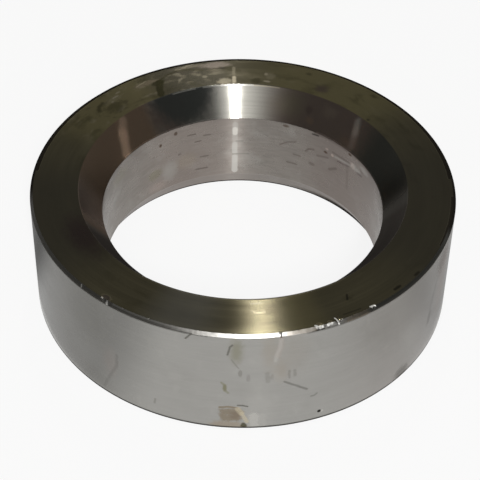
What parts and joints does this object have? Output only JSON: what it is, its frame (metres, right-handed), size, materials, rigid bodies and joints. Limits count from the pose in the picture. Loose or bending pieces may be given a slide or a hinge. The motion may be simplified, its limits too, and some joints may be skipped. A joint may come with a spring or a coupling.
{
  "type": "seal wear ring",
  "caption": "Thick steel wear ring: a ground outer face for a seal lip, a press-fit bore, a deep conical lead-in above and a short one below.",
  "frame": {"origin": "centre of the lower face", "axes": "+Z along the ring's axis, towards the deep lead-in"},
  "size_m": [0.15, 0.15, 0.045],
  "materials": {
    "ground_steel": "ground outside, fine-turned faces and lead-in, light oil stain and handling marks"
  },
  "bodies": {
    "root": {"wear_ring": "ground_steel"}
  },
  "joints": []
}
